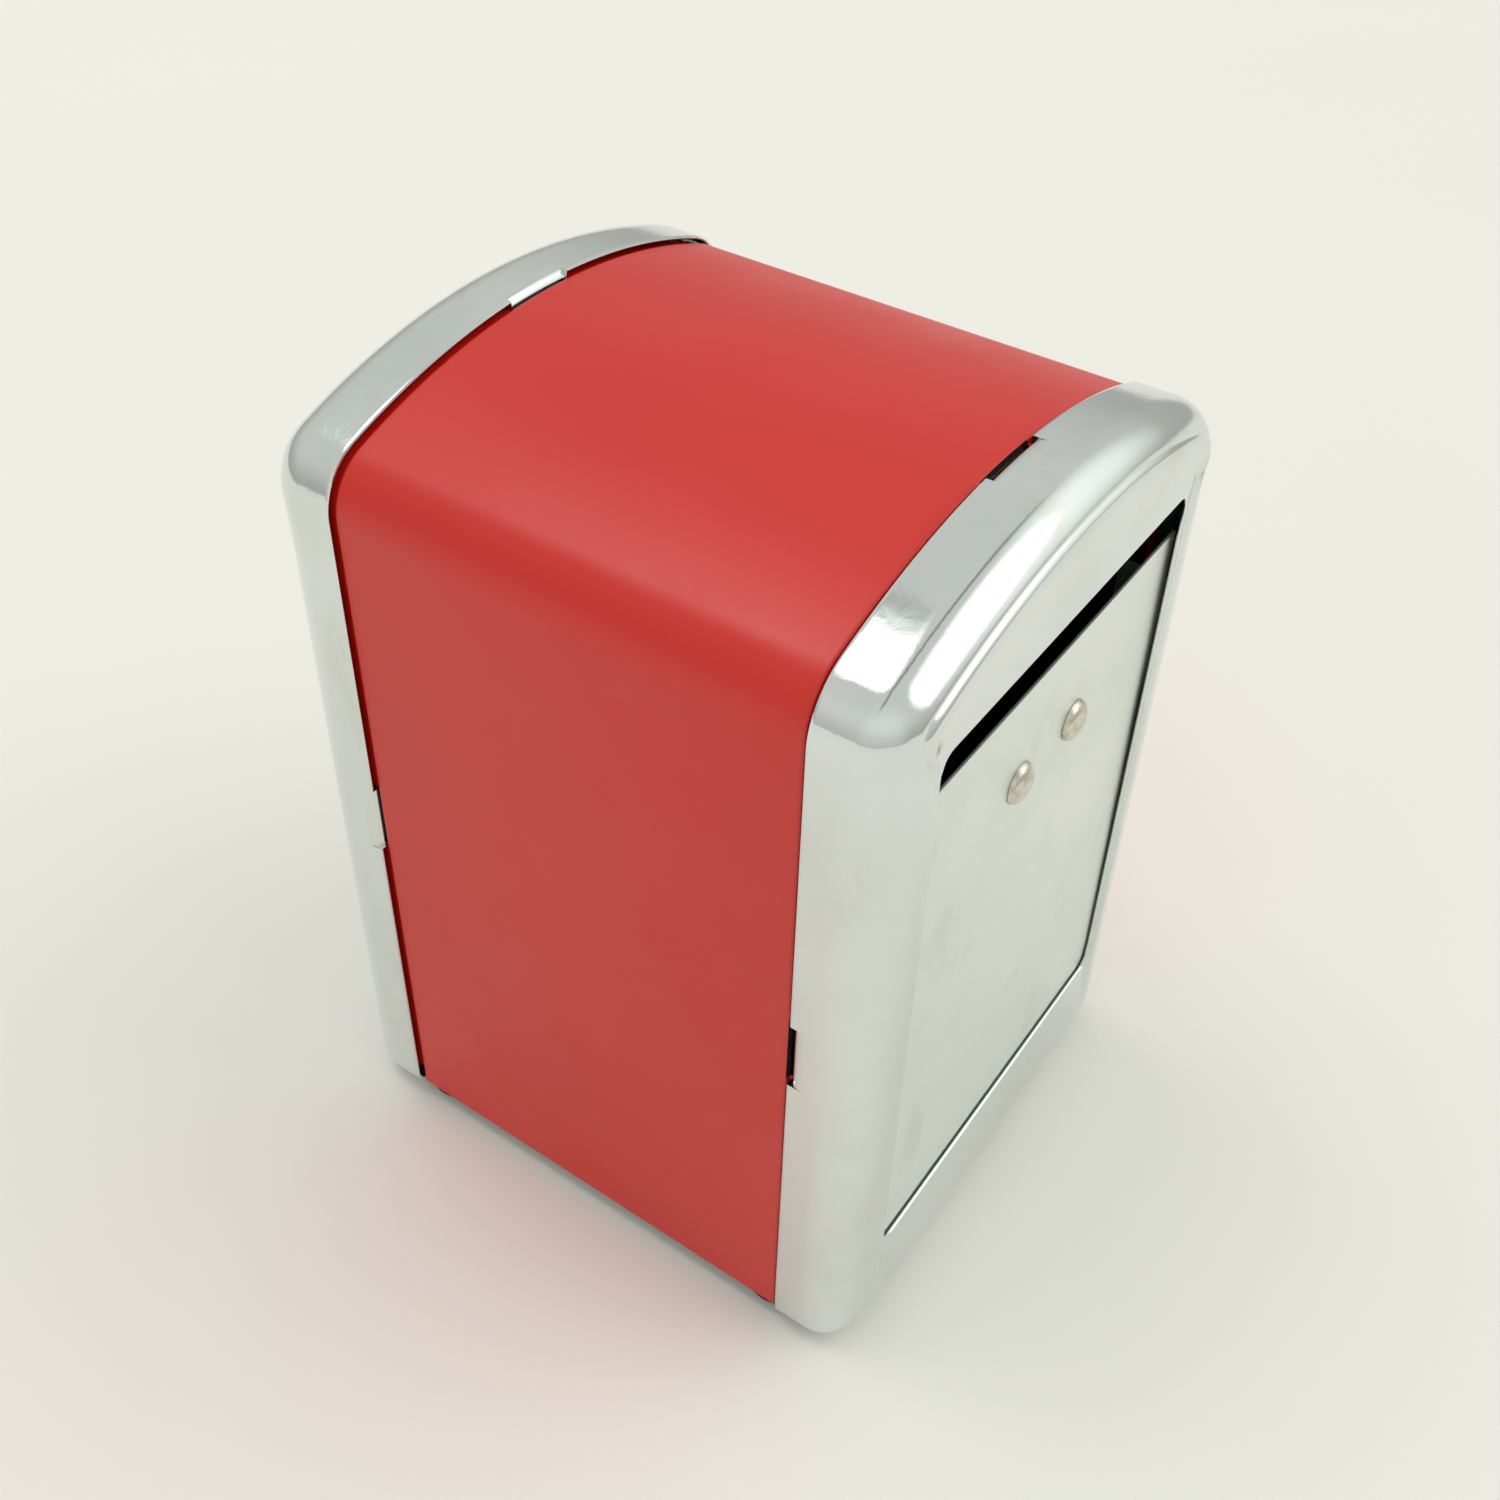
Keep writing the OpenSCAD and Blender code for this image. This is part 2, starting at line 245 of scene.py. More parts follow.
def window_outline(around, inset=0.0):
    """The point of the window's edge nearest to each point around it, moved in by inset."""
    core_x = WINDOW_W / 2 - WINDOW_R
    core_low, core_high = WINDOW_SILL_Z + WINDOW_R, WINDOW_SILL_Z + WINDOW_H - WINDOW_R
    core = np.column_stack([np.clip(around[:, 0], -core_x, core_x),
                            np.clip(around[:, 1], core_low, core_high)])
    out = around - core
    return core + (WINDOW_R - inset) * out / np.linalg.norm(out, axis=1)[:, None]


# ---------------------------------------------------------------- materials

class Look:
    """A node material under construction: a Principled shader and shorthand for what feeds it."""

    def __init__(self, name, color, metallic, roughness):
        self.material = bpy.data.materials.new(name)
        self.material.use_nodes = True
        self.tree = self.material.node_tree
        self.shader = next(n for n in self.tree.nodes if n.type == "BSDF_PRINCIPLED")
        self.shader.inputs["Base Color"].default_value = (*color, 1)
        self.shader.inputs["Metallic"].default_value = metallic
        self.shader.inputs["Roughness"].default_value = roughness
        self.place = self.tree.nodes.new("ShaderNodeTexCoord").outputs["Object"]

    def node(self, kind, **values):
        made = self.tree.nodes.new(kind)
        for key, value in values.items():
            if hasattr(made, key):
                setattr(made, key, value)
            else:
                made.inputs[key.replace("_", " ")].default_value = value
        return made

    def link(self, output, target):
        self.tree.links.new(output, target)

    def stretched(self, scale):
        """Object coordinates stretched by a scale for each axis."""
        mapping = self.node("ShaderNodeMapping")
        mapping.inputs["Scale"].default_value = scale
        self.link(self.place, mapping.inputs["Vector"])
        return mapping.outputs["Vector"]

    def noise(self, scale, detail=3.0, roughness=0.5, vector=None, distortion=0.0):
        made = self.node("ShaderNodeTexNoise", Scale=scale, Detail=detail, Roughness=roughness,
                         Distortion=distortion)
        self.link(vector or self.place, made.inputs["Vector"])
        return made.outputs["Fac"]

    def spread(self, value, from_low, from_high, to_low, to_high):
        made = self.node("ShaderNodeMapRange")
        made.clamp = True
        for key, number in (("From Min", from_low), ("From Max", from_high),
                            ("To Min", to_low), ("To Max", to_high)):
            made.inputs[key].default_value = number
        self.link(value, made.inputs["Value"])
        return made.outputs["Result"]

    def mix(self, factor, low, high):
        """A colour between low and high; either may be a colour or another node's output."""
        made = self.node("ShaderNodeMix", data_type="RGBA")
        self.link(factor, made.inputs[0])
        for key, value in ((6, low), (7, high)):
            if hasattr(value, "is_linked"):
                self.link(value, made.inputs[key])
            else:
                made.inputs[key].default_value = (*value, 1)
        return made.outputs[2]

    def math(self, operation, a, b):
        made = self.node("ShaderNodeMath", operation=operation)
        for key, value in ((0, a), (1, b)):
            if hasattr(value, "is_linked"):
                self.link(value, made.inputs[key])
            else:
                made.inputs[key].default_value = value
        return made.outputs[0]

    def color(self, output):
        self.link(output, self.shader.inputs["Base Color"])

    def roughness(self, output):
        self.link(output, self.shader.inputs["Roughness"])

    def bump(self, height, strength, distance):
        made = self.node("ShaderNodeBump", Strength=strength, Distance=distance)
        self.link(height, made.inputs["Height"])
        self.link(made.outputs["Normal"], self.shader.inputs["Normal"])


def red_powder_coat():
    """Satin powder coat: a fine orange peel, and slow changes of tone and gloss. Near black where the shell is
    marked: on its inner side, and as painted shade on its cut rims and on the slot walls beside the tabs.
    """
    look = Look("red_powder_coat", (0.55, 0.02, 0.012), 0.0, 0.42)
    slow = look.noise(14, detail=2)
    fine = look.noise(900, detail=2)
    paint = look.mix(look.spread(slow, 0.3, 0.7, 0, 1), (0.60, 0.010, 0.002), (0.65, 0.014, 0.004))
    # near black on the shell's inner side, and painted shade on its cut rims and on the slot walls beside the tabs
    inside = look.node("ShaderNodeAttribute", attribute_name="inside").outputs["Fac"]
    look.color(look.mix(inside, paint, (0.012, 0.014, 0.016)))
    look.roughness(look.spread(look.noise(60, detail=4), 0.3, 0.7, 0.34, 0.42))
    look.bump(look.math("ADD", fine, look.math("MULTIPLY", slow, 2.0)), 0.10, 0.02 * MM)
    look.shader.inputs["Specular IOR Level"].default_value = 0.6
    return look.material


def chrome_plate():
    """Bright chrome over a drawn pressing: draw lines, puckers at the shoulders, haze and marks."""
    look = Look("chrome_plate", (0.74, 0.79, 0.775), 1.0, 0.07)
    haze = look.noise(35, detail=5, roughness=0.6)
    streak = look.noise(120, detail=3, vector=look.stretched((1, 1, 0.12)))
    look.roughness(look.spread(haze, 0.35, 0.75, 0.055, 0.16))
    plate = look.mix(look.spread(haze, 0.4, 0.7, 0, 1), (0.76, 0.805, 0.79), (0.70, 0.745, 0.72))
    blot = look.noise(90, detail=4, vector=look.stretched((1, 1, 0.3)), distortion=0.6)
    stain = look.spread(blot, 0.6, 0.72, 0, 0.35)
    look.color(look.mix(stain, plate, (0.66, 0.64, 0.55)))
    ripple = look.noise(260, detail=2, vector=look.stretched((1, 1, 0.08)), distortion=0.5)
    wave = look.math("MULTIPLY", look.spread(look.noise(22, detail=1), 0.48, 0.62, 0, 1), ripple)
    surface = look.math("ADD", look.math("MULTIPLY", streak, 0.5), haze)
    place = look.node("ShaderNodeSeparateXYZ")
    look.link(look.place, place.inputs[0])
    aside = look.spread(look.math("ABSOLUTE", place.outputs["X"], 0.0), 18 * MM, 36 * MM, 0, 1)
    high = look.spread(place.outputs["Z"], 110 * MM, 126 * MM, 0, 2.5)
    pucker = look.math("MULTIPLY", look.noise(300, detail=2, distortion=1.5), look.math("MULTIPLY", aside, high))
    look.bump(look.math("ADD", look.math("ADD", surface, wave), pucker), 0.2, 0.05 * MM)
    return look.material


def galvanised_sheet():
    """Pale zinc-plated sheet: soft cloudy patches, rub marks and a satin surface."""
    look = Look("galvanised_sheet", (0.72, 0.76, 0.68), 0.85, 0.4)
    cloud = look.noise(45, detail=5, roughness=0.6, distortion=0.2)
    rub = look.noise(110, detail=5, vector=look.stretched((1.0, 1.0, 0.6)), distortion=0.4)
    tone = look.mix(look.spread(cloud, 0.35, 0.68, 0, 1), (0.79, 0.83, 0.785), (0.745, 0.80, 0.75))
    marks = look.spread(rub, 0.60, 0.74, 0, 0.4)
    look.color(look.mix(marks, tone, (0.62, 0.65, 0.58)))
    look.roughness(look.spread(cloud, 0.3, 0.7, 0.34, 0.48))
    look.bump(look.noise(260, detail=4), 0.08, 0.02 * MM)
    return look.material


def nickel_rivet():
    """Tumbled nickel plate with fine nicks."""
    look = Look("nickel_rivet", (0.66, 0.63, 0.54), 1.0, 0.2)
    nicks = look.noise(700, detail=4)
    look.color(look.mix(look.spread(nicks, 0.45, 0.7, 0, 1), (0.70, 0.67, 0.58), (0.48, 0.45, 0.36)))
    look.roughness(look.spread(nicks, 0.3, 0.7, 0.16, 0.34))
    look.bump(nicks, 0.15, 0.05 * MM)
    return look.material


def blued_spring_steel():
    """Rolled spring steel with its grain along the strip."""
    look = Look("blued_spring_steel", (0.22, 0.24, 0.28), 1.0, 0.32)
    grain = look.noise(500, detail=3, vector=look.stretched((1, 0.06, 0.06)))
    look.color(look.mix(look.spread(grain, 0.3, 0.7, 0, 1), (0.20, 0.22, 0.26), (0.30, 0.31, 0.33)))
    look.roughness(look.spread(grain, 0.3, 0.7, 0.26, 0.42))
    look.bump(grain, 0.2, 0.02 * MM)
    return look.material


def black_rubber():
    """Moulded rubber, a little dusty."""
    look = Look("black_rubber", (0.02, 0.02, 0.02), 0.0, 0.75)
    dust = look.noise(220, detail=5)
    look.color(look.mix(look.spread(dust, 0.5, 0.8, 0, 1), (0.014, 0.014, 0.014), (0.06, 0.058, 0.053)))
    look.roughness(look.spread(dust, 0.3, 0.7, 0.65, 0.85))
    look.bump(dust, 0.3, 0.05 * MM)
    return look.material


def pale_floor():
    """A matt, slightly uneven table top."""
    look = Look("pale_floor", (0.87, 0.865, 0.815), 0.0, 0.9)
    soft = look.noise(3, detail=2)
    look.color(look.mix(look.spread(soft, 0.3, 0.7, 0, 1), (0.88, 0.875, 0.825), (0.86, 0.855, 0.805)))
    return look.material


# ---------------------------------------------------------------- bent sheet

def offset_line(line, thickness):
    """The other side of a sheet whose near side is line, given as (y, inset) pairs."""
    line = np.array(line)
    run = np.gradient(line, axis=0)
    run /= np.linalg.norm(run, axis=1)[:, None]
    eased = np.pad(run, ((2, 2), (0, 0)), mode="edge")
    run = sum(eased[k:k + len(run)] for k in range(5))
    run /= np.linalg.norm(run, axis=1)[:, None]
    return line + thickness * np.column_stack([-run[:, 1], run[:, 0]])


EDGE_POINTS = 3                         # points of a rounded sheet edge, without its two ends


def rounded_edge(near, far, out):
    """Points half way round from near to far, bulging towards out."""
    near, far, out = np.array(near), np.array(far), np.array(out)
    middle, reach = (near + far) / 2, (near - far) / 2
    half = np.linalg.norm(reach)
    return [middle + reach * math.cos(a) + out * half * math.sin(a)
            for a in np.linspace(0, math.pi, EDGE_POINTS + 2)[1:-1]]


# ---------------------------------------------------------------- end caps

ARCH_FILLET = 6.4 * MM
SIDE_FILLET = 7.8 * MM
BOTTOM_FILLET = 6.0 * MM
ARCH_FILLET_END = 58                    # degrees round the fillet at which the arch meets the face
SIDE_FILLET_END = 88                    # the same for the sides and the bottom
FACE_Y = CAP_FACE_Y + 0.35 * MM         # the flat of the face
FILLET_STEPS = 16
TAB_POINTS = 9                          # points of a section that a tab moves
FACE_SHARES = (0.06, 0.14, 0.3, 0.5, 0.7, 0.86, 0.95)


def cap_section(fillet, end_degrees, step):
    """(y, inset) pairs from the flange's edge, round the fillet and onto the face. offset_line steps
    from it to the outside of the cap, so the sheet lies outside this line."""
    start_y = FACE_Y + fillet
    section = [(CAP_EDGE_Y - d, -CAP_PROUD) for d in np.linspace(0.25 * MM, 2.6 * MM, TAB_POINTS)]
    section += [(y, -CAP_PROUD) for y in np.linspace(CAP_EDGE_Y - 3.2 * MM, start_y + 0.3 * MM, 4)]
    for angle in np.radians(np.linspace(0, end_degrees, FILLET_STEPS)):
        section.append((start_y - fillet * math.sin(angle),
                        -CAP_PROUD + fillet * (1 - math.cos(angle))))
    y, inset = section[-1]
    if step:
        section += [(y - d * MM, inset + reach * MM) for d, reach in
                    ((0.04, 0.12), (0.05, 0.30), (0.30, 0.50), (0.58, 0.78), (0.80, 1.15), (0.93, 1.6))]
        section.append((FACE_Y, inset + 2.2 * MM))
    else:
        section += [(y + (FACE_Y - y) * s, inset + reach * MM) for s, reach in
                    ((0.2, 0.12), (0.4, 0.24), (0.6, 0.36), (0.8, 0.5), (0.9, 0.65), (0.97, 0.8),
                     (1.0, 0.9))]
    return np.array(section)


def tab_section():
    """The part of a section where the flange's edge turns down into one of the shell's slots."""
    bend, tip = 1.3 * MM, 2.1 * MM
    front = CAP_EDGE_Y - 0.6 * MM
    section = [(front, tip - s * (tip - bend)) for s in (0.0, 0.4, 0.8)]
    for angle in np.radians(np.linspace(5, 85, TAB_POINTS - 3)):
        section.append((front - bend * (1 - math.cos(angle)), bend - (bend + CAP_PROUD) * math.sin(angle)))
    return np.array(section)


def cap_rings():
    """The front cap as a closed loop of rings of points round the body: the sheet's near side from the
    flange's edge to the window, and its far side, CAP_T outwards of the flange, back again."""
    near = {"arch": cap_section(ARCH_FILLET, ARCH_FILLET_END, True),
             "side": cap_section(SIDE_FILLET, SIDE_FILLET_END, False),
             "bottom": cap_section(BOTTOM_FILLET, SIDE_FILLET_END, False) + (0, CAP_PROUD)}
    far = {part: offset_line(line, CAP_T) for part, line in near.items()}
    edge = {part: rounded_edge(far[part][0], near[part][0], (1, 0)) for part in near}
    tab = tab_section()
    tab_far = offset_line(np.vstack([tab, near["side"][TAB_POINTS]]), CAP_T)[:TAB_POINTS]
    tab_edge = rounded_edge(tab_far[0], tab[0], (0, 1))
    base = outline(0, CAP_BOTTOM_Z)
    arch, in_tab_here = archness(), in_tab()
    low = smooth((CAP_BOTTOM_Z + FOOT_CORNER_R - base[:, 1]) / FOOT_CORNER_R)

    def ring(arch_point, side_point, bottom_point, tab_point, corner_r):
        lift = CAP_BOTTOM_Z + bottom_point[1]
        round_arch = outline(arch_point[1], lift, corner_r)
        round_side = outline(side_point[1], lift, corner_r)
        xz = round_arch * arch[:, None] + round_side * (1 - arch[:, None])
        y = arch_point[0] * arch + side_point[0] * (1 - arch)
        y = bottom_point[0] * low + y * (1 - low)
        if tab_point is not None:
            xz = np.where(in_tab_here[:, None], outline(tab_point[1], lift, corner_r), xz)
            y = np.where(in_tab_here, tab_point[0], y)
        return np.column_stack([xz[:, 0], y, xz[:, 1]])

    def side_of_sheet(lines, tab_line, corner_r):
        rings = []
        for k in range(len(lines["arch"])):
            tab_point = tab_line[k] if k < TAB_POINTS else None
            rings.append(ring(lines["arch"][k], lines["side"][k], lines["bottom"][k], tab_point,
                              corner_r))
        return rings

    def window_ring(inset, y):
        window = window_outline(near_rings[-1][:, ::2], inset)
        return np.column_stack([window[:, 0], np.full(len(window), y), window[:, 1]])

    far_r = FOOT_CORNER_R - CAP_T
    loop = [ring(edge["arch"][k], edge["side"][k], edge["bottom"][k], tab_edge[k], FOOT_CORNER_R)
            for k in range(EDGE_POINTS)]
    near_rings = side_of_sheet(near, tab, FOOT_CORNER_R)
    far_rings = side_of_sheet(far, tab_far, far_r)
    loop += near_rings
    rim = window_ring(0.0, FACE_Y)
    loop += [near_rings[-1] * (1 - s) + rim * s for s in FACE_SHARES]
    half = CAP_T / 2
    loop += [window_ring(half * math.sin(a), FACE_Y + half - half * math.cos(a))
             for a in np.linspace(0, math.pi, 6)]
    back_rim = window_ring(0.0, FACE_Y + CAP_T)
    loop += [far_rings[-1] * (1 - s) + back_rim * s for s in reversed(FACE_SHARES)]
    return loop + far_rings[::-1]


def build_cap():
    """The front cap, its rings joined up into one closed sheet."""
    rings = cap_rings()
    faces = []
    count = len(rings[0])
    for row in range(len(rings)):
        below = (row + 1) % len(rings)
        for column in range(count):
            after = (column + 1) % count
            faces.append((row * count + column, below * count + column,
                          below * count + after, row * count + after))
    return mesh_from("front_cap_pressing", np.concatenate(rings), faces)


# ---------------------------------------------------------------- painted shell

JOGGLE = 0.75 * MM
EDGE_ROLL = 0.6 * MM                    # radius of the shell's rolled edge beside a cap
GROOVE = 0.45 * MM                      # from the cap's flange to the full-width stretch
SLOT_ROOT = CAP_EDGE_Y + 0.7 * MM       # where the slots for the tabs end
SHELL_FOOT_R = 0.3 * MM


def shell_section():
    """(y, inset) pairs along the outside of the shell, from its front end to its back end."""
    full = CAP_EDGE_Y + GROOVE
    half = [(y, JOGGLE) for y in (-SHELL_END_Y, -SHELL_END_Y + 0.6 * MM, CAP_EDGE_Y - 2 * MM,
                                  CAP_EDGE_Y - 0.9 * MM, CAP_EDGE_Y - 0.1 * MM, full - 0.45 * MM)]
    half += [(full - 0.14 * MM, JOGGLE - 0.03 * MM), (full - 0.03 * MM, JOGGLE - 0.14 * MM)]
    for angle in np.radians(np.linspace(14, 90, 8)):
        half.append((full + EDGE_ROLL * (1 - math.cos(angle)), EDGE_ROLL * (1 - math.sin(angle))))
    half += [(full + d, 0.0) for d in (0.9 * MM, 1.6 * MM, 3 * MM, 6 * MM, 12 * MM, 24 * MM)]
    return np.array(half + [(0.0, 0.0)] + [(-y, inset) for y, inset in reversed(half)])


def build_shell():
    """The shell as rings along its length, with the slots for the tabs, and marks for its near-black inner side
    and for painted shade on its cut rims and on the slot walls beside the tabs.
    """
    outer = shell_section()
    inner = outer + (0, SHEET_T)
    loop = list(outer) + rounded_edge(outer[-1], inner[-1], (1, 0)) + list(inner[::-1])
    loop += rounded_edge(inner[0], outer[0], (-1, 0))
    base = outline(0, SHELL_LOW[2], SHELL_FOOT_R)
    corner = BOTTOM_STEPS + CORNER_STEPS        # columns before the upright side starts
    order = list(range(corner - 1, len(base) - corner + 2))
    tab = in_tab()[order]
    near_tab = tab | np.roll(tab, 1) | np.roll(tab, -1)
    rings, dark = [], []
    for k, (y, inset) in enumerate(loop):
        stepped = abs(y) > abs(SLOT_ROOT)
        # 1 marks near black: the inner side, plus painted shade on the cut rims and on the slot walls beside the
        #                     tabs
        dark.append(np.where(stepped & near_tab, 1.0, float(k >= len(outer))))
        low = CAP_BOTTOM_Z + FOOT_CORNER_R if stepped else SHELL_LOW[2]
        points = outline(inset, low, SHELL_FOOT_R)[order]
        depth = np.full(len(order), y)
        if stepped:
            root = math.copysign(SLOT_ROOT, y)
            depth = np.where(tab, root + (y - root) * 0.01, depth)
        rings.append(np.column_stack([points[:, 0], depth, points[:, 1]]))
    faces = []
    count, rows = len(order), len(rings)
    for row in range(rows):
        below = (row + 1) % rows
        for column in range(count - 1):
            faces.append((row * count + column, row * count + column + 1,
                          below * count + column + 1, below * count + column))
    half = len(outer)
    far_end = 2 * half + EDGE_POINTS - 1        # the point on the sheet's inner side across from the first one
    for column, turn in ((0, 1), (count - 1, -1)):
        end = [row * count + column for row in range(rows)]
        for k in range(half - 1):
            across = far_end - k
            faces.append((end[k], end[k + 1], end[across - 1], end[across])[::turn])
        front = [end[0], end[far_end]] + end[far_end + 1:]
        back = [end[half - 1]] + end[half:half + EDGE_POINTS + 1]
        faces.append(tuple(front)[::turn])
        faces.append(tuple(reversed(back))[::-turn])
    piece = mesh_from("shell_pressing", np.concatenate(rings), faces)
    inside = piece.data.attributes.new("inside", "FLOAT", "POINT")
    inside.data.foreach_set("value", np.concatenate(dark))
    return piece


# ---------------------------------------------------------------- followers, rivets and springs

FOLLOWER_BEND = 1.6 * MM
FOLLOWER_HALF = FOLLOWER_HIGH[0]
FOLLOWER_TALL = 104.0 * MM
FOLLOWER_FLANGE = 8.0 * MM
FOLLOWER_T = 0.55 * MM
FLANGE_TOP = FOLLOWER_TALL - 9.0 * MM
BEND_TOP = FLANGE_TOP + 0.3 * MM        # no bent sheet above this
ON_FACE = 1e-6                          # a point this near the face counts as on it
RIVET_PITCH = 16.0 * MM
RIVET_UP = 93.5 * MM                    # above the bottom of the body
LEAN = math.radians(0.3)                # how far a follower leans back at rest


def follower_place():
    """From a follower's own axes (x across, y back from its face, z up from its bottom
    edge) to the body's."""
    foot = Vector((0, FOLLOWER_LOW[1], FOLLOWER_LOW[2] + FOLLOWER_FLANGE * math.sin(LEAN)))
    return Matrix.Translation(foot) @ Matrix.Rotation(-LEAN, 4, "X")


PLACE = follower_place()


def build_follower():
    """A plate bent back along both sides, whose flanges stop short of its top."""
    r = FOLLOWER_BEND
    half = FOLLOWER_HALF
    cross = [(half, FOLLOWER_FLANGE)]
    cross += [(half, y) for y in np.linspace(FOLLOWER_FLANGE - 0.5 * MM, r + 0.4 * MM, 6)]
    for angle in np.radians(np.linspace(0, 90, 8)):
        cross.append((half - r + r * math.cos(angle), r - r * math.sin(angle)))
    flat = [(x, 0.0) for x in np.linspace(half - r - 0.6 * MM, 0, 14)]
    right = cross + flat
    across = right + [(-x, y) for x, y in reversed(right[:-1])]
    heights = list(np.linspace(0, FLANGE_TOP, 40))
    heights += list(np.linspace(FLANGE_TOP + 0.6 * MM, FOLLOWER_TALL, 12))
    points = []
    for z in heights:
        for x, y in across:
            up = BEND_TOP if z > BEND_TOP and y > ON_FACE else z
            points.append(PLACE @ Vector((x, y, up)))
    columns = len(across)

    def skip(row, column):
        bent = across[column][1] > ON_FACE or across[column + 1][1] > ON_FACE
        return heights[row + 1] > BEND_TOP and bent

    piece = mesh_from("front_follower_plate", points, grid_faces(len(heights), columns, skip=skip))
    solid = piece.modifiers.new("thickness", "SOLIDIFY")
    solid.thickness = FOLLOWER_T
    solid.offset = -1
    solid.use_even_offset = True
    solid.use_quality_normals = True
    ease_edges(piece, 0.12 * MM, 2)
    return applied(piece)


def build_rivets(name):
    """The two domed rivets of a follower, heads to the front and upset tails behind."""
    pieces = []
    head_r, head_h = 3.2 * MM, 1.7 * MM
    tail_r, tail_h, grip = 2.4 * MM, 0.8 * MM, 1.5 * MM
    for side in (-1, 1):
        profile = [(0.05 * MM, -head_h)]
        for angle in np.radians(np.linspace(8, 78, 12)):
            profile.append((head_r * math.sin(angle), -head_h * math.cos(angle) ** 0.9))
        profile += [(head_r, -0.22 * MM), (head_r - 0.05 * MM, -0.04 * MM), (head_r - 0.2 * MM, 0.0)]
        profile += [(1.5 * MM, 0.0), (1.5 * MM, grip), (tail_r - 0.2 * MM, grip),
                    (tail_r, grip + 0.2 * MM),
                    (tail_r - 0.15 * MM, grip + tail_h - 0.25 * MM), (tail_r - 0.6 * MM, grip + tail_h),
                    (0.05 * MM, grip + tail_h)]
        up = RIVET_UP + CAP_BOTTOM_Z - FOLLOWER_LOW[2]
        spot = Matrix.Translation((side * RIVET_PITCH / 2, 0, up))
        place = PLACE @ spot @ Matrix.Rotation(-math.pi / 2, 4, "X")
        pieces.append(lathe(name, profile, place))
    return join(name, pieces)


def sweep(name, path, normals, half_width, thickness):
    """A flat strip with eased edges, along a path in the YZ plane, thick towards its normals."""
    ease = 0.12 * MM
    section = []
    for x, t in ((1, 0), (1, 1), (-1, 1), (-1, 0)):
        edge = (x * half_width, abs(t * thickness - ease))
        face = (x * (half_width - ease), t * thickness)
        section += [face, edge] if x * (0.5 - t) > 0 else [edge, face]
    points = []
    for (y, z), (ny, nz) in zip(path, normals):
        points += [(x, y + ny * t, z + nz * t) for x, t in section]
    count = len(section)
    faces = grid_faces(len(path), count, closed=True)
    faces += [tuple(reversed(range(count))), tuple(range(len(points) - count, len(points)))]
    return mesh_from(name, points, faces)


SPRING_T = 0.5 * MM
SPRING_BEND = 5.0 * MM
SPRING_PAD = 16.0 * MM
SPRING_FOOT = 13.0 * MM
KNEE_R = 2.5 * MM
FLOOR_TOP = SPRING_LOW[2]
SPRING_ROOT = SPRING_HIGH[1] - SPRING_FOOT


def spring_path():
    """The strip's outer line from its top down to its toe, with the inward normals."""
    top = np.array((PLACE @ Vector((0, SHEET_T + 0.1 * MM, SPRING_HIGH[2] - FOLLOWER_LOW[2])))[1:])
    top[1] = SPRING_HIGH[2]
    down = np.array((-math.sin(LEAN), -math.cos(LEAN)))
    knee = top + down * SPRING_PAD
    centre = np.array((SPRING_ROOT + SPRING_BEND, FLOOR_TOP + SPRING_BEND))
    leg = knee - centre
    lean = math.acos(SPRING_BEND / np.linalg.norm(leg)) - math.atan2(leg[1], -leg[0])
    bend_start = centre + SPRING_BEND * np.array((math.cos(math.pi + lean), math.sin(math.pi + lean)))
    slope = bend_start - knee
    slope /= np.linalg.norm(slope)
    turn = math.acos(float(np.clip(np.dot(down, slope), -1, 1)))
    back = KNEE_R * math.tan(turn / 2)
    path = [top + down * d for d in np.linspace(0, SPRING_PAD - back, 8)]
    knee_start, knee_end = knee - down * back, knee + slope * back
    for s in np.linspace(0, 1, 6)[1:]:
        path.append((1 - s) ** 2 * knee_start + 2 * s * (1 - s) * knee + s ** 2 * knee_end)
    path += [knee_end * (1 - s) + bend_start * s for s in np.linspace(0, 1, 30)[1:]]
    for angle in np.linspace(math.pi + lean, 1.5 * math.pi, 12)[1:]:
        path.append(centre + SPRING_BEND * np.array((math.cos(angle), math.sin(angle))))
    path += [np.array((SPRING_ROOT + SPRING_BEND + d, FLOOR_TOP)) for d in
             np.linspace(0, SPRING_FOOT - SPRING_BEND, 6)[1:]]
    path = np.array(path)
    run = np.gradient(path, axis=0)
    run /= np.linalg.norm(run, axis=1)[:, None]
    return path, np.column_stack([-run[:, 1], run[:, 0]]), knee, centre


def build_spring():
    """The front spring, and where its bending starts and ends."""
    path, normals, knee, centre = spring_path()
    piece = sweep("front_leaf_spring", path, normals, SPRING_HIGH[0], SPRING_T)
    return piece, Vector((0, *knee)), Vector((0, centre[0], FLOOR_TOP))


def build_spring_rivets():
    """Four rivets up through the floor and the springs' feet."""
    low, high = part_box("spring_rivets")
    head_r, shank_r = 2.5 * MM, 1.5 * MM
    centre_x, centre_y = high[0] - head_r, high[1] - head_r
    grip = high[2] - low[2] - 1.6 * MM
    profile = [(0.05 * MM, low[2]), (1.0 * MM, low[2] + 0.08 * MM), (1.8 * MM, low[2] + 0.3 * MM),
               (2.35 * MM, low[2] + 0.62 * MM), (head_r, low[2] + 0.8 * MM), (shank_r, low[2] + 0.8 * MM),
               (shank_r, low[2] + 0.8 * MM + grip), (2.4 * MM, low[2] + 0.85 * MM + grip),
               (2.45 * MM, high[2] - 0.3 * MM), (1.9 * MM, high[2] - 0.02 * MM), (0.05 * MM, high[2])]
    pieces = [lathe("floor_rivets", profile, Matrix.Translation((x, y, 0)), segments=32)
              for x in (-centre_x, centre_x) for y in (-centre_y, centre_y)]
    return join("floor_rivets", pieces)


